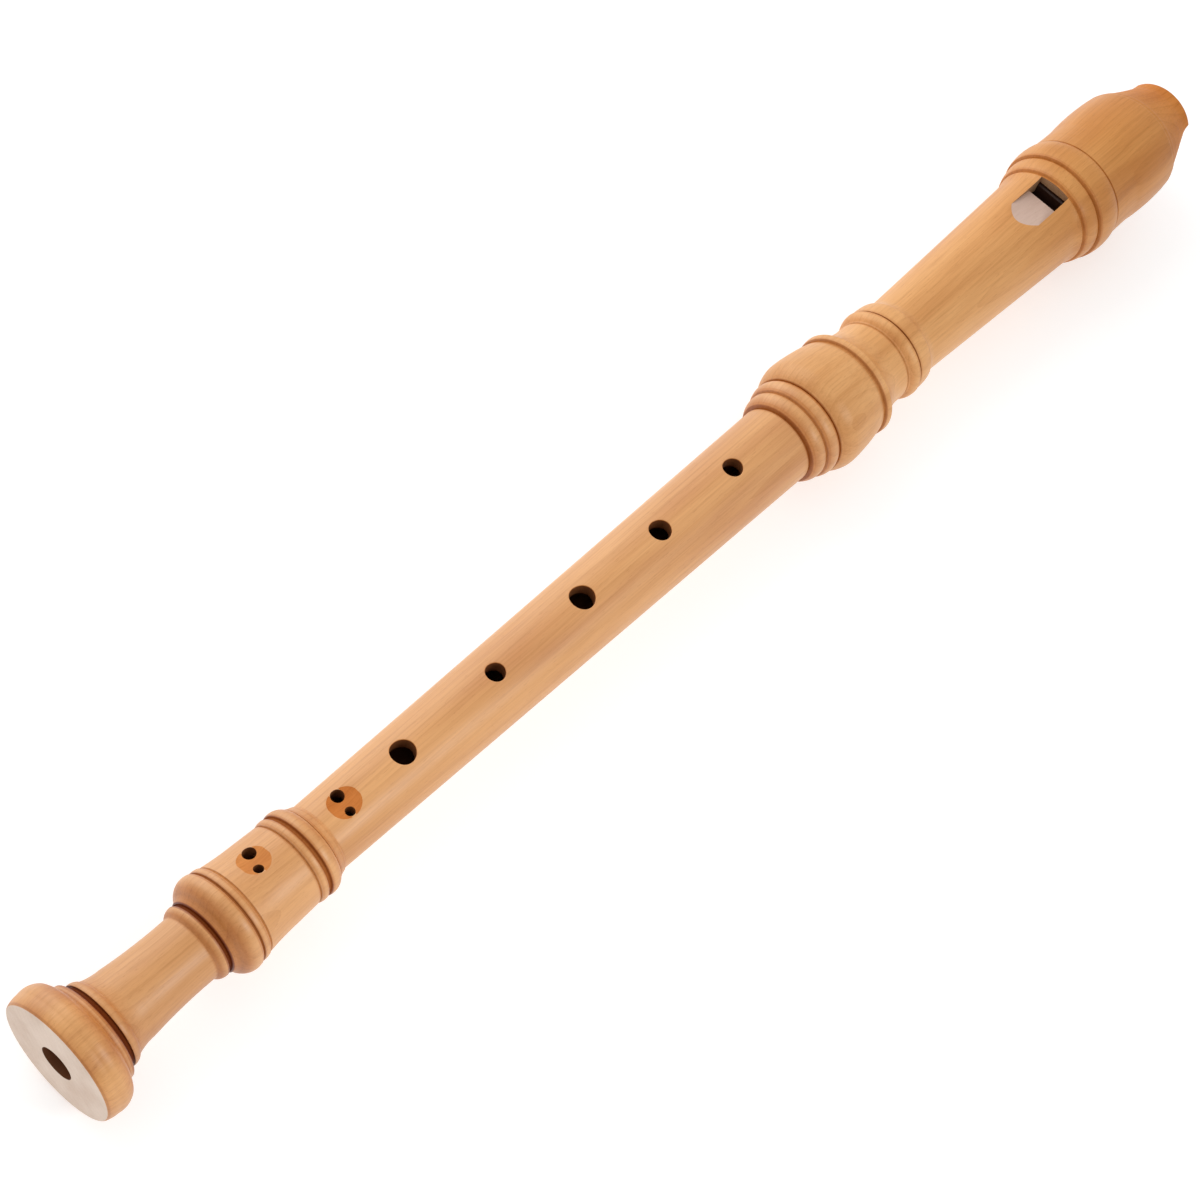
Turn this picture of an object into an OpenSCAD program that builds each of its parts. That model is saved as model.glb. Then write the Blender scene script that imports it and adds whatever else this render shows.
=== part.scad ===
// Soprano recorder of turned pearwood in three joints: foot, middle and head.
// It lies along X with its finger holes up (+Z). The origin is the centre of
// the bell's end face, and +X runs to the beak. All sizes are in millimetres.

/* [Joints] */
// Length of the foot joint, from the bell face to its socket's mouth
foot_l = 60; // [59.5:0.1:61]
// Length of the middle joint that shows between the foot and the head
middle_l = 140.7; // [138:0.1:142]
// Length of the head joint, from its socket's mouth to the tip of the beak
head_l = 130.4; // [130:0.1:131]
// Gap between the end faces at each closed joint
seam = 0.15; // [0.1:0.05:0.3]
// How far the foot is turned towards the player's right, in degrees
foot_turn = 15; // [0:1:30]

/* [Tenons] */
// Length of the tenon that goes into the foot
lower_tenon_l = 10.6; // [9:0.1:10.8]
// Length of the tenon that goes into the head
upper_tenon_l = 16.2; // [14:0.1:16.5]
// Radius of the foot's socket
lower_socket_r = 6.65; // [6.5:0.05:6.8]
// Radius of the head's socket
upper_socket_r = 8.15; // [8:0.05:8.3]
// Thickness of the tenon corks
cork_t = 0.85; // [0.7:0.05:0.9]
// Radial clearance round each cork, inside and outside
cork_gap = 0.05; // [0.02:0.01:0.1]

/* [Bore] */
// Radius of the straight stretch of bore at the bell, which takes a stand's peg
bell_bore_r = 3.65; // [3.4:0.05:3.8]
// Length of that straight stretch
bell_bore_l = 14; // [10:1:20]
// Bore radius at the lower end of the middle joint
low_bore_r = 4.3; // [4.1:0.05:4.4]
// Bore radius at the upper end of the middle joint
top_bore_r = 6.1; // [5.5:0.05:6.2]
// Radius of the head's straight bore, which also holds the block
head_bore_r = 7; // [6.8:0.05:7.1]

/* [Windway and window] */
// Width of the windway and of the window
windway_w = 7.6; // [7:0.1:8]
// Height of the windway
windway_h = 1; // [0.9:0.05:1.1]
// Open length between the windway's exit and the labium's edge
cut_up = 3.6; // [3:0.1:4]
// Length of the labium's ramp
ramp_l = 11; // [10:0.5:13]

/* [Finger holes] */
// Diameters of the five single finger holes, from the top hole down
hole_d = [4.2, 4.6, 5.2, 4, 5.1];
// Diameter of the thumb hole
thumb_d = 5; // [4.5:0.1:5.5]
// Diameter of the larger hole of each pair
pair_big_d = 2.7; // [2.4:0.1:2.8]
// Diameter of the smaller hole of each pair
pair_small_d = 2; // [1.6:0.1:2.2]
// Distance between the two holes of a pair
pair_gap = 3.7; // [3.4:0.1:3.9]

/* [Hidden] */

wood = [0.86, 0.65, 0.43];
cedar = [0.70, 0.44, 0.29];
cork = [0.80, 0.63, 0.44];

// Where the joints meet
shoulder_low = foot_l + seam;
shoulder_top = foot_l + middle_l;
head_x = shoulder_top + seam;
tip_x = head_x + head_l;

// Tenons: a collar of bare wood on each side of the cork's recess
end_gap = 0.35;
collar_l = 1.5;
cork_slack = 0.1;
wood_gap = 0.15;
tenon_low_x = shoulder_low - lower_tenon_l;
tenon_top_x = shoulder_top + upper_tenon_l;
recess_low_r = lower_socket_r - 2 * cork_gap - cork_t;
recess_top_r = upper_socket_r - 2 * cork_gap - cork_t;
socket_low_x = tenon_low_x - end_gap;
socket_top_x = tenon_top_x + end_gap;

// Window and windway. The windway's floor rises from the tip to the window
window_x = head_x + 84.4;
edge_x = window_x - cut_up;
floor_tip_z = 6;
floor_window_z = 8.2;
edge_z = floor_window_z + 0.45;
ramp_top_z = 10.6;
blade_z = edge_z - 0.35;
undercut_l = 8;
undercut_z = head_bore_r - 0.5;
block_gap = 0.02;

// Underside of the beak, scooped by a round cutter
beak_cut_r = 27;
beak_cut_x = tip_x + 1.5;
beak_cut_z = 4.2 - beak_cut_r;

// Finger holes: distances from the foot's mouth, top hole first
hole_from_foot = [117, 95, 72.3, 48, 23.3];
pair_from_foot = 8.1;
middle_pair_slant = 0.4;
middle_pair_r = 7.33;
foot_pair_x = foot_l - 12.3;
foot_pair_slant = 1.2;
foot_pair_r = 9.2;
thumb_from_foot = 123.3;
dish_r = 9;
middle_dish_depth = 0.7;
foot_dish_depth = 0.55;
foot_dish_ahead = 0.5;

// How far the cutters reach past the wood, outwards and across
clear_r = 16;
clear_w = 40;

// Points of a round stretch from a to b that bulges outwards by sag
function arc(a, b, sag, n = 8) =
    let (
        chord = norm(b - a),
        along = (b - a) / chord,
        out = [-along[1], along[0]] * sign(sag),
        r = (chord * chord / 4 + sag * sag) / (2 * abs(sag)),
        half = asin(chord / 2 / r),
        centre = (a + b) / 2 - out * (r - abs(sag))
    )
    [for (i = [0 : n])
        let (t = -half + 2 * half * i / n)
        centre + r * (out * cos(t) + along * sin(t))];

// A list of [x, r] points moved along the axis
function shift(points, dx) = [for (p = points) [p[0] + dx, p[1]]];

// Solid of revolution about X from a closed outline of [x, r] points
module turned(outline) {
    rotate([0, 90, 0])
        rotate_extrude($fn = 180)
            polygon([for (p = outline) [p[1], p[0]]]);
}

// Straight drilled hole along Z, from z0 to z1
module drilled(x, y, d, z0, z1) {
    translate([x, y, z0])
        cylinder(d = d, h = z1 - z0, $fn = 72);
}

// Slot cutter: an outline of [x, z] points, width w across Y
module across(outline, w) {
    translate([0, w / 2, 0])
        rotate([90, 0, 0])
            linear_extrude(w)
                polygon(outline);
}

// Shallow milled scoop whose deepest point is at height z
module dish(x, z) {
    translate([x, 0, z + dish_r])
        rotate([90, 0, 0])
            cylinder(r = dish_r, h = clear_w, center = true, $fn = 120);
}

// A large and a small hole side by side, for a half-closed finger. The large
// one sits further up the bore than the small one by slant
module double_hole(x, surface_r, slant) {
    drilled(x + slant / 2, pair_gap / 2, pair_big_d, 0, surface_r + 1);
    drilled(x - slant / 2, -pair_gap / 2, pair_small_d, 0, surface_r + 1);
}

// Cutter for the underside of the beak
module beak_cut() {
    translate([beak_cut_x, 0, beak_cut_z])
        rotate([90, 0, 0])
            cylinder(r = beak_cut_r, h = clear_w, center = true, $fn = 180);
}

// Bell and neck of the foot, measured from the bell face
bell_outline = concat(
    [[0, 12.75]],
    arc([0.15, 12.95], [2.6, 13.4], 0.12, 4),
    arc([2.6, 13.4], [6.2, 12.5], 0.45, 8),
    [[6.9, 11.3], [7.1, 10.4], [8.5, 10.2], [8.6, 9.7], [8.6, 8.6], [9.7, 8.6], [9.8, 9]],
    arc([9.85, 9.05], [11.5, 8.5], 0.2, 4),
    arc([11.6, 8.3], [16, 7.5], -0.2, 6),
    arc([16, 7.5], [31, 6.85], -0.25, 10));

// Bead, socket and mouth of the foot, measured back from its mouth
socket_outline = concat(
    arc([-28.9, 7], [-26.9, 7.85], 0.3, 5),
    [[-26.8, 7.3], [-26.2, 7.3], [-26.1, 7.9]],
    arc([-26, 7.95], [-24.9, 8.7], -0.08, 3),
    arc([-24.9, 8.7], [-20.9, 10.3], 0.8, 10),
    [[-20.8, 9.75], [-20.5, 9.75], [-20.4, 10.1]],
    arc([-20.3, 10.15], [-18.9, 10], 0.1, 3),
    [[-18.8, 9.55], [-18.5, 9.55], [-18.4, 9.75]],
    arc([-18.3, 9.75], [-12, 9.2], -0.08, 5),
    [[-5.6, 8.9], [-5.5, 8.6], [-5.3, 8.6], [-5.2, 8.9]],
    arc([-5.1, 8.95], [-3.6, 9.15], 0.12, 4),
    [[-3.5, 8.6], [-2.8, 8.6], [-2.7, 9.1]],
    arc([-2.6, 9.2], [-0.2, 8.7], 0.3, 6),
    [[0, 8.5]]);

// Lower end of the middle joint's tube, measured from its shoulder
shoulder_outline = concat(
    [[0, 8.2]],
    arc([0.1, 8.3], [1.9, 7.55], -0.08, 4),
    [[2, 7.25]]);

// Two beads of the middle joint's collar, measured back from the head
collar_outline = concat(
    [[-7.15, 8.68], [-7.05, 8.35], [-6.75, 8.35], [-6.65, 9.3]],
    arc([-6.6, 9.4], [-3.6, 10.3], 0.35, 6),
    [[-3.5, 10.1], [-3.25, 10.1], [-3.15, 10.6]],
    arc([-3.05, 10.7], [-0.2, 11.1], 0.35, 6),
    [[0, 10.9]]);

// Socket bulge and neck ring of the head, measured from its mouth
bulge_outline = concat(
    [[0, 11.1]],
    arc([0.1, 11.35], [4.8, 12.85], 0.45, 8),
    arc([4.8, 12.85], [13.7, 11.65], 0.2, 8),
    [[14, 11.35], [14.25, 11.35], [14.4, 12.05]],
    [[15.7, 12.2]],
    arc([15.9, 12], [23, 9.5], -0.75, 9),
    [[24.6, 9.45], [24.7, 9.2], [24.9, 9.2], [25, 9.45]],
    arc([25.2, 9.5], [27.65, 10.6], 0.35, 6),
    [[27.7, 9.6], [28.05, 9.6], [28.1, 10.3]],
    arc([28.2, 10.35], [31.7, 10.1], 0.15, 4),
    arc([31.7, 10.1], [34.2, 9.15], -0.2, 5));

// Ring set, barrel and beak of the head, measured from its mouth
beak_outline = concat(
    arc([81.5, 10.9], [84.3, 11.5], -0.1, 4),
    [[84.5, 11.15], [84.9, 11.15], [85, 11.85]],
    arc([85.1, 11.95], [88.6, 12.6], 0.2, 5),
    [[88.7, 12.25], [89, 12.25], [89.1, 13.1]],
    arc([89.2, 13.2], [95.3, 13.1], 0.4, 8),
    [[95.4, 12.6], [95.65, 12.6], [95.75, 12.9]],
    arc([95.85, 12.95], [103, 12.8], -0.05, 4),
    arc([103, 12.8], [116.4, 12.9], 0.35, 10),
    arc([116.4, 12.9], [119, 12], 0.2, 4),
    arc([119, 12], [127.4, 8.8], -0.1, 6),
    arc([127.4, 8.8], [129.8, 8.5], -0.08, 3),
    arc([129.8, 8.5], [head_l, 7.9], 0.2, 4));

foot_outline = concat(
    [[0, bell_bore_r]],
    bell_outline,
    shift(socket_outline, foot_l),
    [[foot_l, lower_socket_r], [socket_low_x, lower_socket_r]],
    [[socket_low_x, low_bore_r], [bell_bore_l, bell_bore_r]]);

lower_tenon = [
    [tenon_low_x, lower_socket_r - wood_gap],
    [tenon_low_x + collar_l, lower_socket_r - wood_gap],
    [tenon_low_x + collar_l, recess_low_r],
    [shoulder_low - collar_l, recess_low_r],
    [shoulder_low - collar_l, lower_socket_r - wood_gap],
    [shoulder_low, lower_socket_r - wood_gap]];

upper_tenon = [
    [shoulder_top, upper_socket_r - wood_gap],
    [shoulder_top + collar_l, upper_socket_r - wood_gap],
    [shoulder_top + collar_l, recess_top_r],
    [tenon_top_x - collar_l, recess_top_r],
    [tenon_top_x - collar_l, upper_socket_r - wood_gap],
    [tenon_top_x, upper_socket_r - wood_gap],
    [tenon_top_x, top_bore_r]];

middle_outline = concat(
    [[tenon_low_x, low_bore_r]],
    lower_tenon,
    shift(shoulder_outline, shoulder_low),
    shift(collar_outline, shoulder_top),
    upper_tenon);

head_outline = concat(
    [[socket_top_x - head_x, upper_socket_r], [0, upper_socket_r]],
    bulge_outline,
    beak_outline,
    [[head_l, head_bore_r], [socket_top_x - head_x, head_bore_r]]);

// Sleeve of cork in a tenon's recess
module cork_sleeve(x0, x1, socket_r) {
    turned([
        [x0 + collar_l + cork_slack, socket_r - cork_gap - cork_t],
        [x0 + collar_l + cork_slack, socket_r - cork_gap],
        [x1 - collar_l - cork_slack, socket_r - cork_gap],
        [x1 - collar_l - cork_slack, socket_r - cork_gap - cork_t]]);
}

module foot_joint() {
    color(wood)
        rotate([-foot_turn, 0, 0])
            difference() {
                turned(foot_outline);
                double_hole(foot_pair_x, foot_pair_r, foot_pair_slant);
                dish(foot_pair_x + foot_dish_ahead, foot_pair_r - foot_dish_depth);
            }
}

module lower_cork() {
    color(cork)
        cork_sleeve(tenon_low_x, shoulder_low, lower_socket_r);
}

module middle_joint() {
    color(wood)
        difference() {
            turned(middle_outline);
            for (i = [0 : len(hole_d) - 1])
                drilled(foot_l + hole_from_foot[i], 0, hole_d[i], 0, clear_r);
            double_hole(foot_l + pair_from_foot, middle_pair_r, middle_pair_slant);
            dish(foot_l + pair_from_foot, middle_pair_r - middle_dish_depth);
            drilled(foot_l + thumb_from_foot, 0, thumb_d, -clear_r, 0);
        }
}

module upper_cork() {
    color(cork)
        cork_sleeve(shoulder_top, tenon_top_x, upper_socket_r);
}

// Ramp, window and undercut, which leave the thin edge of the labium
module window_cut() {
    past = 3;
    slope = (ramp_top_z - edge_z) / ramp_l;
    across([
        [edge_x - ramp_l - past, ramp_top_z + past * slope],
        [edge_x, edge_z],
        [edge_x, 0],
        [window_x, 0],
        [window_x, clear_r],
        [edge_x - ramp_l - past, clear_r]], windway_w);
    across([
        [edge_x - undercut_l, undercut_z - 2],
        [edge_x - undercut_l, undercut_z],
        [edge_x + 1, blade_z],
        [edge_x + 1, undercut_z - 2]], windway_w);
}

// Wedge that clears the block above the windway's floor and chamfers its two ends
module windway_wedge() {
    chamfer = 0.3;
    rise = 4;
    across([
        [window_x - 1, floor_window_z + rise],
        [window_x - 1, floor_window_z - 1 - chamfer],
        [window_x + chamfer, floor_window_z],
        [tip_x - chamfer, floor_tip_z],
        [tip_x + 1, floor_tip_z - 1 - chamfer],
        [tip_x + 1, floor_tip_z + rise]], 2 * head_bore_r + 2);
}

module head_joint() {
    color(wood)
        difference() {
            translate([head_x, 0, 0])
                turned(head_outline);
            window_cut();
            across([
                [window_x - 1, 0],
                [window_x - 1, floor_window_z + windway_h],
                [tip_x + 1, floor_tip_z + windway_h],
                [tip_x + 1, 0]], windway_w);
            beak_cut();
        }
}

// Cedar plug that closes the bore and carries the windway's floor
module block() {
    block_r = head_bore_r - block_gap;
    color(cedar)
        difference() {
            union() {
                turned([[window_x, 0], [window_x, block_r], [tip_x, block_r], [tip_x, 0]]);
                across([
                    [window_x, 3],
                    [window_x, floor_window_z + 1],
                    [tip_x, floor_tip_z + 1],
                    [tip_x, 3]], windway_w - 2 * block_gap);
            }
            windway_wedge();
            beak_cut();
        }
}

foot_joint();
lower_cork();
middle_joint();
upper_cork();
head_joint();
block();
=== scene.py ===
"""Soprano recorder of turned pearwood: the looks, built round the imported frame.

Blender's lengths are metres. The lengths here are millimetres, and mesh_object turns them into metres.
Only the lamps' places and sizes are in metres.
"""

import bisect
import math

import bmesh
import bpy
from mathutils import Matrix, Vector, noise
from mathutils.bvhtree import BVHTree


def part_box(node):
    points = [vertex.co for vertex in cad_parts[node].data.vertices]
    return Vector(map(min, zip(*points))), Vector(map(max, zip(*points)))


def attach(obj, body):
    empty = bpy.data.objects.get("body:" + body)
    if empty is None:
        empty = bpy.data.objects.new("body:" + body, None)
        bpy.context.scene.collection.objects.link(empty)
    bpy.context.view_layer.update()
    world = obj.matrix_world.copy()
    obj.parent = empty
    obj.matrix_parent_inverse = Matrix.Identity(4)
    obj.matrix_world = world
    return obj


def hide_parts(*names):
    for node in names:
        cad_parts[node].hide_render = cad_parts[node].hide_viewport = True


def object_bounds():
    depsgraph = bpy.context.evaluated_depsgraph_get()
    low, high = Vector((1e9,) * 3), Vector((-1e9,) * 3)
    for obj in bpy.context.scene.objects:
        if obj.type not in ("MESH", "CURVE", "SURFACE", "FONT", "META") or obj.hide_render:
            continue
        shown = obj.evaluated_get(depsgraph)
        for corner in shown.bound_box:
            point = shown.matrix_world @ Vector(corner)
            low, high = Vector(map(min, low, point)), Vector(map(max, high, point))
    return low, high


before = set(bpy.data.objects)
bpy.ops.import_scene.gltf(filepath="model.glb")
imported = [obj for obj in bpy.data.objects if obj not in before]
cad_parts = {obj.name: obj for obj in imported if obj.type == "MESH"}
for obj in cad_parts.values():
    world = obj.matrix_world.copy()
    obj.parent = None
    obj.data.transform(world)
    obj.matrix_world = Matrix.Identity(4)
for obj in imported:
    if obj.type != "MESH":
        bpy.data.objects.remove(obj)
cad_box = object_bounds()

MM = 0.001

# How the turned outlines are read: every STATION along X, along a line that meets no hole
STATION = 0.05
END_INSET = 0.004
CLEAR_ANGLE = math.radians(50)
PROBE_REACH = 30
SIMPLIFY = 0.006

# Corners of an outline sharper than CORNER are rounded within ARRIS. Edges sharper than CREASE stay crisp
CORNER = math.radians(24)
ARRIS = 0.12
CREASE = math.radians(35)

# How finely round shapes are built
SEGMENTS = 144
HOLE_SEGMENTS = 48
RIM_STEPS = 5
SCOOP_SEGMENTS = 240
BEAK_CUT_SEGMENTS = 400

# Finger holes: distances from the foot's mouth, and diameters, as in the CAD model
HOLES = ((117, 4.2), (95, 4.6), (72.3, 5.2), (48, 4), (23.3, 5.1))
THUMB = (123.3, 5)
PAIR_GAP, PAIR_BIG, PAIR_SMALL = 3.7, 2.7, 2
MIDDLE_PAIR, MIDDLE_PAIR_R, MIDDLE_SLANT, MIDDLE_DISH = 8.1, 7.33, 0.4, (0, 0.7)
FOOT_PAIR, FOOT_PAIR_R, FOOT_SLANT, FOOT_DISH = -12.3, 9.2, 1.2, (0.5, 0.55)
FOOT_TURN = math.radians(15)
DISH_R = 9
RIM, RIM_FLARE = 0.22, 1.4

# Window, windway and beak. WINDOW is a distance from the head's mouth, and every Z is from the axis
WINDOW, CUT_UP, RAMP_L = 84.4, 3.6, 11
WINDWAY_W, WINDWAY_H = 7.6, 1
FLOOR_TIP_Z, FLOOR_WINDOW_Z = 6, 8.2
EDGE_Z, RAMP_TOP_Z, BLADE_Z = 8.65, 10.6, 8.3
UNDERCUT_L, UNDERCUT_Z = 8, 6.5
BEAK_CUT_R, BEAK_CUT_AHEAD, BEAK_CUT_TOP = 27, 1.5, 4.2
LIP_L = 13

# How far cutters reach: CLEAR is a width right across the wood, and the others run on past an edge, past
# the ramp's end, above the window, down into the bore, and below or above the surface round a hole
CLEAR = 40
PAST = 1
RAMP_PAST = 3
WINDOW_TOP_Z = 16
UNDERCUT_LOW_Z, PAIR_LOW_Z = 4, 2
DRILL_BELOW, DRILL_ABOVE, PAIR_ABOVE = 4.5, 3, 2

# Unevenness of the corks, and the room left at their ends
CORK_DENT = 0.08
CORK_LUMPS = 0.8
CORK_SKIN = 0.05
CORK_END_GAP = 0.08

FOOT_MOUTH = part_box("foot_joint")[1].x / MM
HEAD_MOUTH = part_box("head_joint")[0].x / MM
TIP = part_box("head_joint")[1].x / MM
WINDOW_X = HEAD_MOUTH + WINDOW
EDGE_X = WINDOW_X - CUT_UP
RAMP_X = EDGE_X - RAMP_L - RAMP_PAST
BEAK_X, BEAK_Z = TIP + BEAK_CUT_AHEAD, BEAK_CUT_TOP - BEAK_CUT_R
LIP_X = TIP - LIP_L

# Which finish a face gets: how close it lies to the bore, the turned line, an end, the beak's cutter, the
# labium's edge or the window's wall, and how squarely it faces along the tube or up the ramp
BORE_SKIN, TURNED_SKIN, END_SKIN = 0.06, 0.08, 0.05
BEAK_SKIN, EDGE_SKIN, WALL_SKIN = 0.05, 0.01, 0.5
END_FACING, RAMP_FACING = 0.9, 0.8

# Walls of holes stay light down to SCOOP_REACH, and grooves deeper than GROOVE_FROM are dull
SCOOP_REACH = 0.95
GROOVE_FROM = 0.15

# Tones of wood and cork: dark, middle and light
TUBE_TONE = ((0.59, 0.27, 0.103), (0.66, 0.325, 0.125), (0.72, 0.37, 0.15))
HEAD_TONE = ((0.64, 0.3, 0.102), (0.72, 0.363, 0.135), (0.78, 0.415, 0.168))
RAW_TONE = ((0.45, 0.125, 0.02), (0.52, 0.16, 0.028), (0.57, 0.185, 0.038))
FOOT_RAW_TONE = ((0.53, 0.18, 0.042), (0.61, 0.227, 0.056), (0.67, 0.27, 0.075))
CUT_TONE = ((0.34, 0.19, 0.1), (0.38, 0.215, 0.115), (0.42, 0.24, 0.13))
END_TONE = ((0.64, 0.47, 0.36), (0.69, 0.53, 0.42), (0.74, 0.58, 0.47))
BARE_TONE = ((0.54, 0.37, 0.29), (0.6, 0.42, 0.34), (0.65, 0.47, 0.38))
BORE_TONE = ((0.14, 0.045, 0.012), (0.18, 0.06, 0.018), (0.22, 0.08, 0.025))
CEDAR_TONE = ((0.28, 0.1, 0.04), (0.36, 0.14, 0.06), (0.42, 0.18, 0.08))
CORK_TONE = ((0.36, 0.18, 0.07), (0.56, 0.32, 0.135), (0.68, 0.43, 0.2))

# Changes of tone along X. The cedar is painted dark where the window shows it: painted shade inside the
# window
FOOT_TINT = ((0, (0.99, 0.97, 0.88)), (12, (0.88, 0.85, 0.82)), (30, (0.88, 0.85, 0.82)), (42, (1, 1, 1)))
HEAD_TINT = ((201, (0.88, 0.84, 0.8)), (222, (1, 1, 1)), (262, (0.98, 0.94, 0.88)),
             (300, (0.84, 0.69, 0.45)), (318, (0.8, 0.63, 0.4)), (331, (0.9, 0.64, 0.36)))
CEDAR_TINT_AND_WINDOW_SHADE = ((WINDOW_X - 1, (0.12, 0.1, 0.1)), (WINDOW_X + 0.5, (0.12, 0.1, 0.1)),
              (WINDOW_X + 1.5, (1, 1, 1)))

# Wood's figure: how many lumps of noise fit in a millimetre along X, Y and Z, and the growth rings' pith
# in the YZ plane and their spacing
SLOW_SCALE = (0.018, 0.16, 0.16)
FIBRE_SCALE = (0.05, 2.6, 2.6)
FLECK_SCALE = (0.5, 6, 6)
POLISH_SCALE = (0.12, 0.4, 0.4)
TURNING_SCALE = (7, 0.04, 0.04)
PITH, RING_SPACING, RING_STRETCH = (31, -24), 1.5, 0.02

# Oil and painted shade in shallow and in deep grooves, how far they spread past them, and painted shade on
# steep slopes
GROOVE_OIL_AND_SHADE = ((0.6, 0.42, 0.28), (0.3, 0.14, 0.06))
GROOVE_OIL_AND_SHADE_SPREAD = 0.18
SLOPE_SHADE_TONE = (0.8, 0.62, 0.42)

# Points within SURFACE of the turned line store how deep and how steep it is there. The sides of a groove
# are looked for within GROOVE_REACH, and the slope is taken over SLOPE_HALF to both sides
SURFACE = 0.5
GROOVE_REACH = 1.1
SLOPE_HALF = 0.5

# Where oil and painted groove shade are stronger or weaker: (from, to, amount) along X
FOOT_OIL_AND_SHADE = ((0.02, 0.5, 0.3), (6.95, 8.3, 0.12), (8.3, 9.8, 0.6), (32.6, 34.2, 0.45), (39, 39.8, 0.1))
MIDDLE_OIL_AND_SHADE = ((FOOT_MOUTH + 133.2, FOOT_MOUTH + 134.2, 0.1),)
HEAD_OIL_AND_SHADE = (
    (HEAD_MOUTH - 1, HEAD_MOUTH + 0.12, 0.35),
    (HEAD_MOUTH + 27, HEAD_MOUTH + 29, -0.35),
    (HEAD_MOUTH + 84, HEAD_MOUTH + 97, -0.15))

# Light of the surroundings on the recorder's left and on its right, and the floor's half width
WORLD_LEFT, WORLD_RIGHT = 0.48, 0.9
FLOOR_HALF = 6000

# Camera: how far the tube leans out of the picture, how far to its left the camera stands, and its roll.
# Then its distance from the tube's axis, its place along it, a shift sideways, the lens and the sensor
LEAN, ASIDE, ROLL = math.radians(28.7), math.radians(15), math.radians(40.74)
CAMERA_AWAY, CAMERA_ALONG, CAMERA_SHIFT = 470, -118.4, 0.6
LENS, SENSOR = 82.5, 36


# ---------------------------------------------------------------- outlines

def read_outline(node):
    """Turned outline of a CAD node: its outer and its bore radius along X, read where no hole is."""
    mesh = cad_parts[node].data
    tree = BVHTree.FromPolygons(
        [v.co / MM for v in mesh.vertices], [tuple(p.vertices) for p in mesh.polygons])
    low, high = (corner.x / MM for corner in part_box(node))
    out = Vector((0, math.sin(CLEAR_ANGLE), math.cos(CLEAR_ANGLE)))
    count = round((high - low) / STATION)
    outer, bore = [], []
    for i in range(count + 1):
        x = low + (high - low) * i / count
        probe = Vector((min(max(x, low + END_INSET), high - END_INSET), 0, 0))
        seen = tree.ray_cast(probe + out * PROBE_REACH, -out)[0]
        outer.append((x, math.hypot(seen.y, seen.z)))
        seen = tree.ray_cast(probe, out)[0]
        bore.append((x, math.hypot(seen.y, seen.z)))
    return outer, bore


def simplified(points, tolerance=SIMPLIFY):
    """The fewest of these points that keep the line within tolerance (Ramer-Douglas-Peucker)."""
    keep = {0, len(points) - 1}
    spans = [(0, len(points) - 1)]
    while spans:
        first, last = spans.pop()
        a, b = Vector(points[first]), Vector(points[last])
        chord = b - a
        length = max(chord.length, 1e-9)
        gaps = [(abs(chord.cross(Vector(points[i]) - a)) / length, i) for i in range(first + 1, last)]
        if gaps and max(gaps)[0] > tolerance:
            middle = max(gaps)[1]
            keep.add(middle)
            spans += [(first, middle), (middle, last)]
    return [points[i] for i in sorted(keep)]


def softened(points, rounds=2):
    """Cuts each corner of an open line twice, at most ARRIS from a sharp one, so that it rounds."""
    for _ in range(rounds):
        line = [Vector(p) for p in points]
        cut = [line[0]]
        for before, here, after in zip(line, line[1:], line[2:]):
            back, on = before - here, after - here
            sharp = abs(back.angle(on, math.pi) - math.pi) > CORNER
            limit = ARRIS if sharp else math.inf
            cut.append(here + back.normalized() * min(back.length / 4, limit))
            cut.append(here + on.normalized() * min(on.length / 4, limit))
        points = cut + [line[-1]]
    return [tuple(p) for p in points]


def fenced(points, gap=0.3):
    """Adds a point near both ends of each long stretch, so that a groove's oil and painted shade stay in
    the groove.
    """
    line = [points[0]]
    for a, b in zip(points, points[1:]):
        length = math.dist(a, b)
        if length > 3 * gap:
            step = gap / length
            line += [(a[0] + (b[0] - a[0]) * t, a[1] + (b[1] - a[1]) * t) for t in (step, 1 - step)]
        line.append(b)
    return line


def radius_at(line, x):
    """Value of a line of (x, value) points at x."""
    i = bisect.bisect_left(line, x, key=lambda point: point[0])
    if i in (0, len(line)):
        return line[min(i, len(line) - 1)][1]
    (x0, r0), (x1, r1) = line[i - 1], line[i]
    return r0 + (r1 - r0) * (x - x0) / max(x1 - x0, 1e-9)


# ---------------------------------------------------------------- meshes

def mesh_object(name, points, faces):
    """Object from points in millimetres, with its normals outwards."""
    mesh = bpy.data.meshes.new(name)
    mesh.from_pydata([Vector(p) * MM for p in points], [], faces)
    bm = bmesh.new()
    bm.from_mesh(mesh)
    bmesh.ops.recalc_face_normals(bm, faces=bm.faces)
    bm.to_mesh(mesh)
    bm.free()
    obj = bpy.data.objects.new(name, mesh)
    bpy.context.collection.objects.link(obj)
    return obj


def rings_object(name, rings, closed):
    """Skin over rings of equally many points. closed joins the last ring to the first."""
    n = len(rings[0])
    points = [p for ring in rings for p in ring]
    pairs = list(zip(range(len(rings)), range(1, len(rings))))
    if closed:
        pairs.append((len(rings) - 1, 0))
    faces = [
        (a * n + k, a * n + (k + 1) % n, b * n + (k + 1) % n, b * n + k)
        for a, b in pairs for k in range(n)]
    if not closed:
        faces += [tuple(range(n)), tuple((len(rings) - 1) * n + k for k in range(n))]
    return mesh_object(name, points, faces)


def turned(name, outline):
    """Solid of revolution about X of a closed outline of (x, radius)."""
    angles = [2 * math.pi * k / SEGMENTS for k in range(SEGMENTS)]
    rings = [[(x, r * math.sin(a), r * math.cos(a)) for a in angles] for x, r in outline]
    return rings_object(name, rings, closed=True)


def circle(u, v, r, count):
    """Points of a circle about (u, v)."""
    turns = (2 * math.pi * k / count for k in range(count))
    return [(u + r * math.cos(a), v + r * math.sin(a)) for a in turns]


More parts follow.
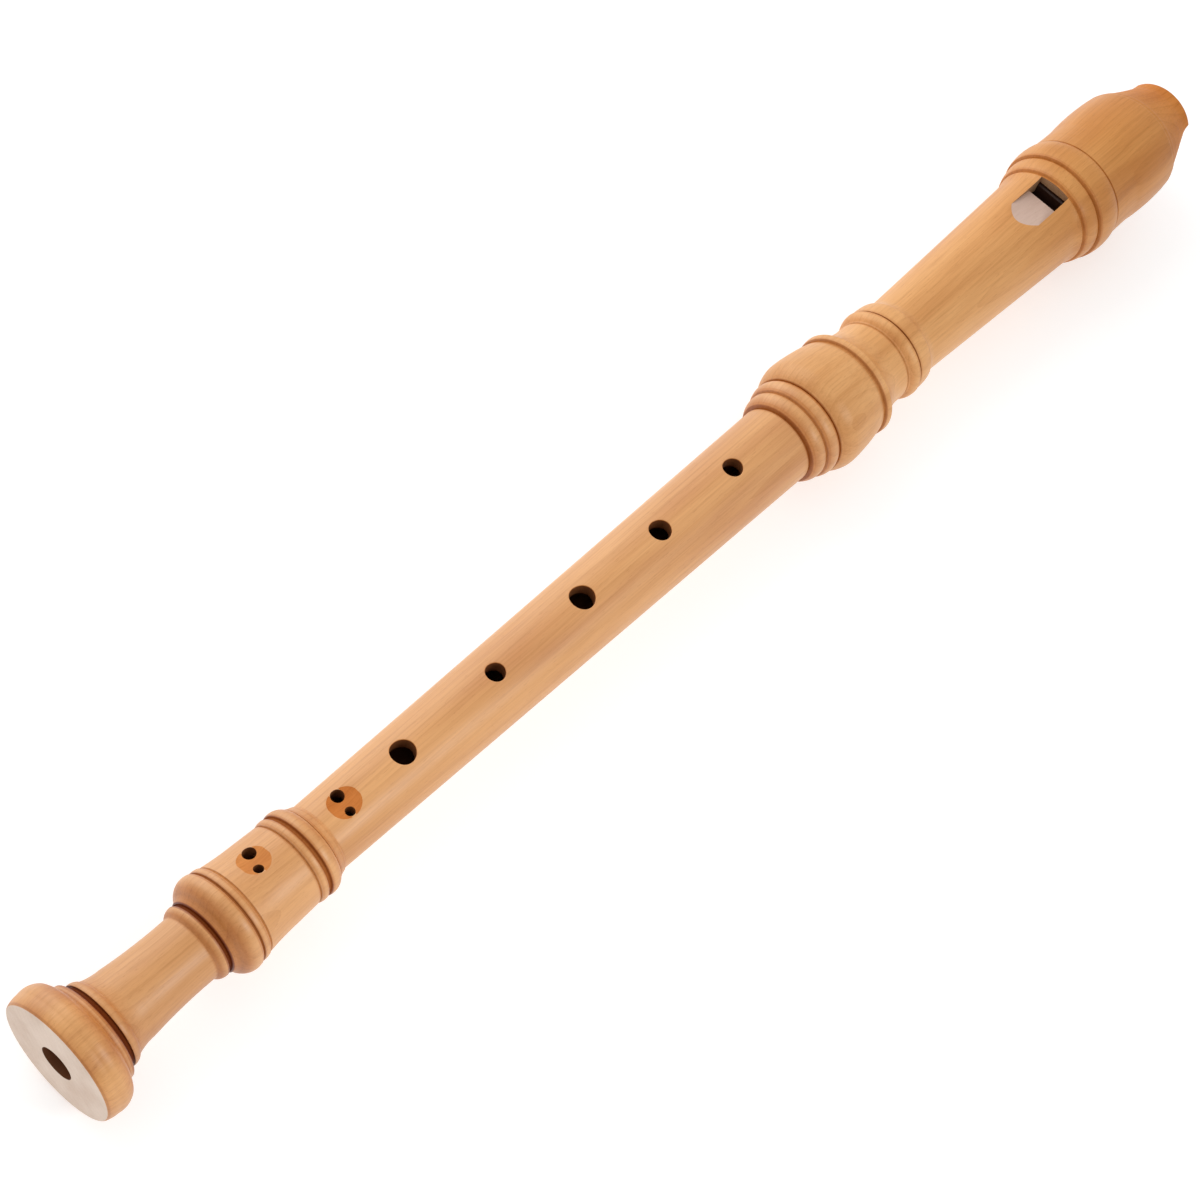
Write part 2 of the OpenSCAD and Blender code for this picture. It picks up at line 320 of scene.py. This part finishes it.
def hole_cutter(x, d, outline, side=1):
    """Drill for a hole whose rim is rounded evenly where it meets the turned surface."""
    wall, flared = d / 2, d / 2 + RIM * RIM_FLARE
    turns = [math.pi / 2 * k / RIM_STEPS for k in range(1, RIM_STEPS + 1)]
    rims = [(wall, -DRILL_BELOW), (wall, -RIM)]
    rims += [(wall + RIM * (1 - math.cos(t)), RIM * (math.sin(t) - 1)) for t in turns]
    rims += [(flared, RIM), (flared, DRILL_ABOVE)]
    rings = []
    for rho, lift in rims:
        ring = []
        for px, py in circle(x, 0, rho, HOLE_SEGMENTS):
            surface = math.sqrt(max(radius_at(outline, px) ** 2 - py * py, 0))
            ring.append((px, py, (surface + lift) * side))
        rings.append(ring)
    return rings_object("cutter", rings, closed=False)


def across(outline, width):
    """Slot cutter: an outline of (x, z) points with a width across Y."""
    n = len(outline)
    points = [(x, side * width / 2, z) for side in (-1, 1) for x, z in outline]
    faces = [(k, (k + 1) % n, n + (k + 1) % n, n + k) for k in range(n)]
    faces += [tuple(range(n)), tuple(range(n, 2 * n))]
    return mesh_object("cutter", points, faces)


def cut(obj, cutters):
    """Takes the cutters away from a piece and leaves the result in its mesh."""
    for cutter in cutters:
        boolean = obj.modifiers.new("cut", "BOOLEAN")
        boolean.operation = "DIFFERENCE"
        boolean.solver = "MANIFOLD"
        boolean.object = cutter
    made = bpy.data.meshes.new_from_object(obj.evaluated_get(bpy.context.evaluated_depsgraph_get()))
    obj.modifiers.clear()
    obj.data = made
    for cutter in cutters:
        bpy.data.objects.remove(cutter)


def finished(obj, body, node):
    """Smooth shading with crisp arrises, then the piece takes its node's place on its body."""
    mesh = obj.data
    mesh.shade_smooth()
    mesh.set_sharp_from_angle(angle=CREASE)
    even = obj.modifiers.new("even normals", "WEIGHTED_NORMAL")
    even.keep_sharp = True
    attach(obj, body)
    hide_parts(node)


def groove_depth(outline):
    """How far each point of an outline lies below the lower of its two sides, in millimetres."""
    depth = []
    for x, r in outline:
        before = max(q for p, q in outline if 0 <= x - p <= GROOVE_REACH)
        after = max(q for p, q in outline if 0 <= p - x <= GROOVE_REACH)
        depth.append((x, min(before, after) - r))
    return depth


def shade_depth(obj, outline, extra_oil_and_shade=(), steepness=1):
    """Stores how deep each point lies in a turned groove, where oil and painted shade darken it, and how
    steep the outline is there, for painted shade on slopes.

    Extra oil and painted shade come as (from, to, amount) along X, which add to the depth. steepness scales
    the slopes.
    """
    depth = groove_depth(outline)
    grooves = obj.data.attributes.new("groove", "FLOAT", "POINT").data
    slope_shades = obj.data.attributes.new("slope_shade", "FLOAT", "POINT").data
    for v, groove, slope_shade in zip(obj.data.vertices, grooves, slope_shades):
        x, r = v.co.x / MM, math.hypot(v.co.y, v.co.z) / MM
        if r > radius_at(outline, x) - SURFACE:
            groove.value = max(radius_at(depth, x + shift) for shift in (-GROOVE_OIL_AND_SHADE_SPREAD, 0, GROOVE_OIL_AND_SHADE_SPREAD))
            groove.value += sum(amount for a, b, amount in extra_oil_and_shade if a <= x <= b)
            rise = radius_at(outline, x + SLOPE_HALF) - radius_at(outline, x - SLOPE_HALF)
            slope_shade.value = steepness * abs(rise)


def paint(obj, materials, choose):
    """Gives each face the material whose name choose returns for its centre and normal."""
    names = list(materials)
    obj.data.materials.clear()
    for name in names:
        obj.data.materials.append(materials[name])
    for face in obj.data.polygons:
        centre = face.center / MM
        face.material_index = names.index(choose(centre, face.normal))


# ---------------------------------------------------------------- materials

def new_material(name):
    """Material with its nodes, its links and its shader."""
    material = bpy.data.materials.new(name)
    material.use_nodes = True
    tree = material.node_tree
    return material, tree.nodes, tree.links, tree.nodes["Principled BSDF"]


def ramp(nodes, links, factor, stops):
    """Colour ramp over a factor; stops are (position, colour)."""
    node = nodes.new("ShaderNodeValToRGB")
    links.new(factor, node.inputs["Fac"])
    band = node.color_ramp
    while len(band.elements) < len(stops):
        band.elements.new(0.5)
    for element, (place, colour) in zip(band.elements, stops):
        element.position = place
        element.color = (*colour, 1)
    return node.outputs["Color"]


def stretched(nodes, links, scale, detail, seed, roughness=0.5):
    """Noise over the piece's own coordinates in millimetres, with a scale for each axis."""
    place = nodes.new("ShaderNodeTexCoord")
    mapping = nodes.new("ShaderNodeMapping")
    mapping.inputs["Location"].default_value = (seed * 7.3, seed * 3.1, seed * 5.7)
    mapping.inputs["Scale"].default_value = [s / MM for s in scale]
    links.new(place.outputs["Object"], mapping.inputs["Vector"])
    grain = nodes.new("ShaderNodeTexNoise")
    grain.inputs["Scale"].default_value = 1
    grain.inputs["Detail"].default_value = detail
    grain.inputs["Roughness"].default_value = roughness
    links.new(mapping.outputs["Vector"], grain.inputs["Vector"])
    return grain.outputs["Fac"]


def mixed(nodes, links, factor, a, b, how="MIX"):
    """Mix of two colours; each may be a socket or a colour."""
    node = nodes.new("ShaderNodeMix")
    node.data_type = "RGBA"
    node.blend_type = how
    for value, socket in ((factor, node.inputs[0]), (a, node.inputs[6]), (b, node.inputs[7])):
        if isinstance(value, bpy.types.NodeSocket):
            links.new(value, socket)
        elif isinstance(value, (int, float)):
            socket.default_value = value
        else:
            socket.default_value = (*value, 1)
    return node.outputs[2]


def along_x(nodes, links, stops):
    """Colour that changes along X; stops are (x in millimetres, colour)."""
    place = nodes.new("ShaderNodeTexCoord")
    parts = nodes.new("ShaderNodeSeparateXYZ")
    links.new(place.outputs["Object"], parts.inputs["Vector"])
    span = nodes.new("ShaderNodeMapRange")
    first, last = stops[0][0], stops[-1][0]
    span.inputs["From Min"].default_value = first * MM
    span.inputs["From Max"].default_value = last * MM
    links.new(parts.outputs["X"], span.inputs["Value"])
    return ramp(nodes, links, span.outputs["Result"], [((x - first) / (last - first), c) for x, c in stops])


def growth_rings(nodes, links, seed):
    """Saw-tooth of the distance from the pith, which cuts the turning in long narrow bands.

    A wave of scale 1 repeats after pi / 10.
    """
    place = nodes.new("ShaderNodeTexCoord")
    mapping = nodes.new("ShaderNodeMapping")
    mapping.inputs["Location"].default_value = (0, *PITH)
    mapping.inputs["Scale"].default_value = (RING_STRETCH / MM, 1 / MM, 1 / MM)
    links.new(place.outputs["Object"], mapping.inputs["Vector"])
    wave = nodes.new("ShaderNodeTexWave")
    wave.wave_type = "RINGS"
    wave.rings_direction = "X"
    wave.wave_profile = "SAW"
    wave.inputs["Scale"].default_value = math.pi / 10 / RING_SPACING
    wave.inputs["Distortion"].default_value = 2.2
    wave.inputs["Detail"].default_value = 2
    wave.inputs["Detail Scale"].default_value = 0.35
    wave.inputs["Phase Offset"].default_value = seed
    links.new(mapping.outputs["Vector"], wave.inputs["Vector"])
    return wave.outputs["Fac"]


def wood_colour(nodes, links, tone, fibres, seed, grain):
    """Slow changes of tone, growth bands, fine fibres and small flecks; grain is how strong they are."""
    dark, middle, light = tone
    slow = stretched(nodes, links, SLOW_SCALE, detail=3, seed=seed)
    colour = ramp(nodes, links, slow, [(0.32, dark), (0.5, middle), (0.68, light)])
    band_tone = ramp(nodes, links, growth_rings(nodes, links, seed), [
        (0, (1, 1, 1)), (0.7, (0.97, 0.95, 0.92)), (1, (0.86, 0.8, 0.72))])
    colour = mixed(nodes, links, 0.55 * grain, colour, band_tone, "MULTIPLY")
    fibre_tone = ramp(nodes, links, fibres, [
        (0.3, (0.8, 0.73, 0.64)), (0.52, (1, 1, 1)), (0.7, (1.08, 1.07, 1.05))])
    colour = mixed(nodes, links, 0.5 * grain, colour, fibre_tone, "MULTIPLY")
    flecks = stretched(nodes, links, FLECK_SCALE, detail=2, seed=seed + 2)
    fleck_tone = ramp(nodes, links, flecks, [(0.29, (0.62, 0.5, 0.4)), (0.36, (1, 1, 1))])
    return mixed(nodes, links, 0.35 * grain, colour, fleck_tone, "MULTIPLY")


def stored(nodes, name):
    """Value that shade_depth has stored in the piece under this name."""
    node = nodes.new("ShaderNodeAttribute")
    node.attribute_name = name
    return node.outputs["Fac"]


def with_oil_and_shade(nodes, links, colour):
    """Darkens a colour with painted shade on steep slopes, and with oil and painted shade in turned
    grooves.
    """
    shallow, deep = GROOVE_OIL_AND_SHADE
    slope_shade = ramp(nodes, links, stored(nodes, "slope_shade"), [(0.12, (0, 0, 0)), (0.8, (1, 1, 1))])
    colour = mixed(nodes, links, slope_shade, colour, SLOPE_SHADE_TONE, "MULTIPLY")
    oil_and_shade = ramp(nodes, links, stored(nodes, "groove"), [(0.05, (1, 1, 1)), (0.6, shallow), (1, deep)])
    return mixed(nodes, links, 1, colour, oil_and_shade, "MULTIPLY")


def polished(nodes, links, shader, roughness, seed):
    """Lets the roughness vary a little from place to place."""
    polish = stretched(nodes, links, POLISH_SCALE, detail=4, seed=seed)
    rough = nodes.new("ShaderNodeMapRange")
    rough.inputs["To Min"].default_value = roughness - 0.07
    rough.inputs["To Max"].default_value = roughness + 0.09
    links.new(polish, rough.inputs["Value"])
    links.new(rough.outputs["Result"], shader.inputs["Roughness"])


def bumped(nodes, links, shader, height, strength, depth):
    """Bump from a height, depth millimetres deep."""
    bump = nodes.new("ShaderNodeBump")
    bump.inputs["Strength"].default_value = strength
    bump.inputs["Distance"].default_value = depth * MM
    links.new(height, bump.inputs["Height"])
    links.new(bump.outputs["Normal"], shader.inputs["Normal"])


def ridged(nodes, links, shader, fibres, seed):
    """Very fine relief of the fibres and of the turning."""
    turning = stretched(nodes, links, TURNING_SCALE, detail=2, seed=seed)
    relief = nodes.new("ShaderNodeMath")
    relief.operation = "MULTIPLY_ADD"
    relief.inputs[1].default_value = 0.35
    links.new(turning, relief.inputs[0])
    links.new(fibres, relief.inputs[2])
    bumped(nodes, links, shader, relief.outputs["Value"], strength=0.35, depth=0.03)


def pearwood(name, tone, seed, roughness, grain=1, oiled_and_shaded=False, tint=None, shine=0.5):
    """Turned pearwood, or cedar.

    tone holds a dark, a middle and a light colour. The flag for oil and shade says that the piece has
    stored the depth of its grooves, darkened by oil and painted shade, and of its slopes, darkened by
    painted shade. tint is a list of (x, colour) that multiply the tone.
    """
    material, nodes, links, shader = new_material(name)
    fibres = stretched(nodes, links, FIBRE_SCALE, detail=5, seed=seed + 1, roughness=0.62)
    colour = wood_colour(nodes, links, tone, fibres, seed, grain)
    if oiled_and_shaded:
        colour = with_oil_and_shade(nodes, links, colour)
    if tint:
        colour = mixed(nodes, links, 1, colour, along_x(nodes, links, tint), "MULTIPLY")
    links.new(colour, shader.inputs["Base Color"])
    shader.inputs["Specular IOR Level"].default_value = shine
    polished(nodes, links, shader, roughness, seed + 3)
    ridged(nodes, links, shader, fibres, seed + 4)
    return material


def cork_material():
    """Wrapped cork: pale grains with dark pores, dry and matte."""
    material, nodes, links, shader = new_material("cork")
    dark, middle, light = CORK_TONE
    blotches = stretched(nodes, links, (0.9, 0.9, 0.9), detail=4, seed=3)
    colour = ramp(nodes, links, blotches, [(0.3, dark), (0.5, middle), (0.7, light)])
    pores = stretched(nodes, links, (2.4, 5, 5), detail=3, seed=9)
    pore_tone = ramp(nodes, links, pores, [(0.33, (0.25, 0.16, 0.1)), (0.42, (1, 1, 1))])
    colour = mixed(nodes, links, 0.85, colour, pore_tone, "MULTIPLY")
    links.new(colour, shader.inputs["Base Color"])
    shader.inputs["Roughness"].default_value = 0.82
    bumped(nodes, links, shader, pores, strength=0.7, depth=0.12)
    return material


def wood_set(prefix, tone, seed, tint=None, shine=0.42, raw=RAW_TONE):
    """The finishes of one joint: turned surface, its grooves, bore, walls of holes, and end grain."""
    return {
        "turned": pearwood(prefix + "_turned", tone, seed, 0.38, oiled_and_shaded=True, tint=tint, shine=shine),
        "groove": pearwood(prefix + "_groove", tone, seed, 0.6, oiled_and_shaded=True, tint=tint, shine=0.05),
        "bore": pearwood(prefix + "_bore", BORE_TONE, seed, 0.5),
        "raw": pearwood(prefix + "_raw", raw, seed, 0.55, shine=0.15),
        "end": pearwood(prefix + "_end", END_TONE, seed, 0.45, grain=0.5)}


# ---------------------------------------------------------------- pieces

def outline_of(node):
    """Softened outer line and bore line of a CAD node, and the closed outline of both."""
    outer, bore = (softened(simplified(line)) for line in read_outline(node))
    outer = fenced(outer)
    return outer, bore, outer + bore[::-1]


def double_hole(x, surface_r, slant, scoop):
    """Cutters for a large and a small hole and the shallow scoop round them."""
    ahead, depth = scoop
    drills = [across(circle(x + ahead, surface_r - depth + DISH_R, DISH_R, SCOOP_SEGMENTS), CLEAR)]
    for side, d in ((1, PAIR_BIG), (-1, PAIR_SMALL)):
        rim = circle(x + side * slant / 2, side * PAIR_GAP / 2, d / 2, HOLE_SEGMENTS)
        rings = [[(px, py, z) for px, py in rim] for z in (PAIR_LOW_Z, surface_r + PAIR_ABOVE)]
        drills.append(rings_object("cutter", rings, closed=False))
    return drills


def choose_wood(outer, bore, ends=(), reach=SCOOP_REACH):
    """Rule for paint: which finish a face has. Walls whose middle lies deeper than reach stay dark."""
    depth = groove_depth(outer)

    def rule(centre, normal):
        r = math.hypot(centre.y, centre.z)
        if any(abs(centre.x - x) < END_SKIN for x in ends) and abs(normal.x) > END_FACING:
            return "end"
        if r < radius_at(bore, centre.x) + BORE_SKIN:
            return "bore"
        if r > radius_at(outer, centre.x) - TURNED_SKIN:
            return "groove" if radius_at(depth, centre.x) > GROOVE_FROM else "turned"
        return "raw" if r > radius_at(outer, centre.x) - reach else "bore"
    return rule


def foot_joint():
    """Foot with the bell, a double hole that is turned with it, and the bell's pale end grain."""
    outer, bore, closed = outline_of("foot_joint")
    piece = turned("foot_joint_wood", closed)
    cutters = double_hole(FOOT_MOUTH + FOOT_PAIR, FOOT_PAIR_R, FOOT_SLANT, FOOT_DISH)
    for cutter in cutters:
        cutter.data.transform(Matrix.Rotation(-FOOT_TURN, 4, "X"))
    cut(piece, cutters)
    shade_depth(piece, outer, FOOT_OIL_AND_SHADE)
    woods = wood_set("foot", TUBE_TONE, seed=1, tint=FOOT_TINT, raw=FOOT_RAW_TONE)
    paint(piece, woods, choose_wood(outer, bore, ends=(0,)))
    finished(piece, "foot", "foot_joint")


def middle_joint():
    """Tube with the finger holes, a double hole and the thumb hole."""
    outer, bore, closed = outline_of("middle_joint")
    piece = turned("middle_joint_wood", closed)
    thumb_x, thumb_d = THUMB
    cutters = [hole_cutter(FOOT_MOUTH + x, d, outer) for x, d in HOLES]
    cutters.append(hole_cutter(FOOT_MOUTH + thumb_x, thumb_d, outer, side=-1))
    cutters += double_hole(FOOT_MOUTH + MIDDLE_PAIR, MIDDLE_PAIR_R, MIDDLE_SLANT, MIDDLE_DISH)
    cut(piece, cutters)
    shade_depth(piece, outer, MIDDLE_OIL_AND_SHADE)
    paint(piece, wood_set("middle", TUBE_TONE, seed=4), choose_wood(outer, bore))
    finished(piece, "middle", "middle_joint")


def head_cutters():
    """Cutters for the window with its ramp, the labium's undercut, the windway and the beak's underside."""
    slope = (RAMP_TOP_Z - EDGE_Z) / RAMP_L
    window = across([
        (RAMP_X, RAMP_TOP_Z + RAMP_PAST * slope),
        (EDGE_X, EDGE_Z),
        (EDGE_X, 0),
        (WINDOW_X, 0),
        (WINDOW_X, WINDOW_TOP_Z),
        (RAMP_X, WINDOW_TOP_Z)], WINDWAY_W)
    undercut = across([
        (EDGE_X - UNDERCUT_L, UNDERCUT_LOW_Z),
        (EDGE_X - UNDERCUT_L, UNDERCUT_Z),
        (EDGE_X + PAST, BLADE_Z),
        (EDGE_X + PAST, UNDERCUT_LOW_Z)], WINDWAY_W)
    windway = across([
        (WINDOW_X - PAST, 0),
        (WINDOW_X - PAST, FLOOR_WINDOW_Z + WINDWAY_H),
        (TIP + PAST, FLOOR_TIP_Z + WINDWAY_H),
        (TIP + PAST, 0)], WINDWAY_W)
    beak = across(circle(BEAK_X, BEAK_Z, BEAK_CUT_R, BEAK_CUT_SEGMENTS), CLEAR)
    return [window, undercut, windway, beak]


def choose_head_wood(outer, bore):
    """Rule for paint: adds the beak's cut, the bare ramp, the window's walls and the lips' end."""
    plain = choose_wood(outer, bore, reach=math.inf)

    def rule(centre, normal):
        from_cutter = math.hypot(centre.x - BEAK_X, centre.z - BEAK_Z)
        if abs(from_cutter - BEAK_CUT_R) < BEAK_SKIN:
            return "lip" if centre.x > LIP_X else "turned"
        finish = plain(centre, normal)
        if finish == "raw" and centre.x < EDGE_X + EDGE_SKIN and normal.z > RAMP_FACING:
            return "bare"
        if finish == "raw" and RAMP_X < centre.x < WINDOW_X + WALL_SKIN:
            return "cut"
        return "lip" if finish == "turned" and centre.x > LIP_X else finish
    return rule


def head_joint():
    """Head with its window, windway and beak."""
    outer, bore, closed = outline_of("head_joint")
    piece = turned("head_joint_wood", closed)
    cut(piece, head_cutters())
    shade_depth(piece, outer, HEAD_OIL_AND_SHADE, steepness=0.5)
    woods = wood_set("head", HEAD_TONE, seed=9, tint=HEAD_TINT, shine=0.3)
    woods["lip"] = pearwood("head_lip", HEAD_TONE, 9, 0.5, oiled_and_shaded=True, tint=HEAD_TINT, shine=0.1)
    woods["bare"] = pearwood("head_bare", BARE_TONE, 11, 0.5, grain=0.5)
    woods["cut"] = pearwood("head_cut", CUT_TONE, 13, 0.55, shine=0.2)
    paint(piece, woods, choose_head_wood(outer, bore))
    finished(piece, "head", "head_joint")


def block():
    """The block keeps its CAD mesh and is painted as cedar, with painted shade where the window shows it.
    """
    cedar = pearwood("cedar", CEDAR_TONE, 12, 0.6, tint=CEDAR_TINT_AND_WINDOW_SHADE)
    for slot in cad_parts["block"].material_slots:
        slot.material = cedar


def cork(node, body, finish):
    """Wrapping of one tenon, with its ends rounded and its surface a little uneven."""
    outer, _, closed = outline_of(node)
    low, high = outer[0][0], outer[-1][0]
    centre = (low + high) / 2
    shorter = 1 - 2 * CORK_END_GAP / (high - low)
    piece = turned(node + "_wrap", [(centre + (x - centre) * shorter, r) for x, r in closed])
    for v in piece.data.vertices:
        spot = v.co / MM
        if math.hypot(spot.y, spot.z) > radius_at(outer, spot.x) - CORK_SKIN:
            dent = CORK_DENT * (1 + noise.noise(spot * CORK_LUMPS)) / 2 * MM
            v.co -= Vector((0, v.co.y, v.co.z)).normalized() * dent
    piece.data.materials.append(finish)
    finished(piece, body, node)


# ---------------------------------------------------------------- setting

def camera():
    """Looks along the recorder from the foot's end, from above and a little to its left."""
    along = Vector((math.cos(LEAN), -math.sin(LEAN) * math.sin(ASIDE), math.sin(LEAN) * math.cos(ASIDE)))
    over = Vector((0, -math.cos(ASIDE), -math.sin(ASIDE)))
    right = math.cos(ROLL) * along + math.sin(ROLL) * over
    up = math.sin(ROLL) * along - math.cos(ROLL) * over
    place = Vector((CAMERA_ALONG, -CAMERA_AWAY * math.sin(ASIDE), CAMERA_AWAY * math.cos(ASIDE)))
    place += over * CAMERA_SHIFT
    data = bpy.data.cameras.new("camera")
    data.sensor_width = SENSOR
    data.lens = LENS
    data.clip_start = 0.01
    obj = bpy.data.objects.new("camera", data)
    facing = Matrix((right, up, right.cross(up))).transposed().to_4x4()
    obj.matrix_world = Matrix.Translation(place * MM) @ facing
    bpy.context.collection.objects.link(obj)
    bpy.context.scene.camera = obj


def surroundings():
    """White surroundings, darker on the recorder's left than on its right."""
    world = bpy.data.worlds.new("studio")
    world.use_nodes = True
    nodes, links = world.node_tree.nodes, world.node_tree.links
    place = nodes.new("ShaderNodeTexCoord")
    parts = nodes.new("ShaderNodeSeparateXYZ")
    links.new(place.outputs["Generated"], parts.inputs["Vector"])
    strength = nodes.new("ShaderNodeMapRange")
    strength.inputs["From Min"].default_value = -1
    strength.inputs["To Min"].default_value = WORLD_LEFT
    strength.inputs["To Max"].default_value = WORLD_RIGHT
    links.new(parts.outputs["Y"], strength.inputs["Value"])
    links.new(strength.outputs["Result"], nodes["Background"].inputs["Strength"])
    nodes["Background"].inputs["Color"].default_value = (1, 1, 1, 1)
    bpy.context.scene.world = world
    bpy.context.scene.view_settings.view_transform = "Standard"


def lamp(name, place, aim, size, spread, power):
    """Area lamp; place and aim are in metres from the middle of the recorder."""
    centre = (Vector(cad_box[0]) + Vector(cad_box[1])) / 2
    data = bpy.data.lights.new(name, "AREA")
    data.shape = "RECTANGLE"
    data.size, data.size_y = size
    data.spread = math.radians(spread)
    data.energy = power
    obj = bpy.data.objects.new(name, data)
    obj.location = centre + Vector(place)
    obj.rotation_euler = (Vector(aim) - Vector(place)).to_track_quat("-Z", "X").to_euler()
    bpy.context.collection.objects.link(obj)


def pale_floor():
    """Plain floor under the lowest point of the recorder."""
    low, far = cad_box[0][2] / MM, FLOOR_HALF
    corners = [(-far, -far, low), (far, -far, low), (far, far, low), (-far, far, low)]
    floor = mesh_object("floor", corners, [(0, 1, 2, 3)])
    material, _, _, shader = new_material("floor")
    shader.inputs["Base Color"].default_value = (0.6, 0.6, 0.6, 1)
    shader.inputs["Roughness"].default_value = 0.9
    shader.inputs["Emission Color"].default_value = (1, 1, 1, 1)
    shader.inputs["Emission Strength"].default_value = 0.55
    floor.data.materials.append(material)


camera()
surroundings()
lamp("panel", place=(0.1, 0.7, 0.3), aim=(0, 0, 0), size=(1.2, 0.6), spread=180, power=4.2)
lamp("strip", place=(0.1, -0.535, 0.39), aim=(-0.125, 0, 0), size=(0.3, 0.15), spread=60, power=0.21)
pale_floor()
foot_joint()
middle_joint()
head_joint()
block()
cork_finish = cork_material()
cork("lower_cork", "lower_sleeve", cork_finish)
cork("upper_cork", "upper_sleeve", cork_finish)
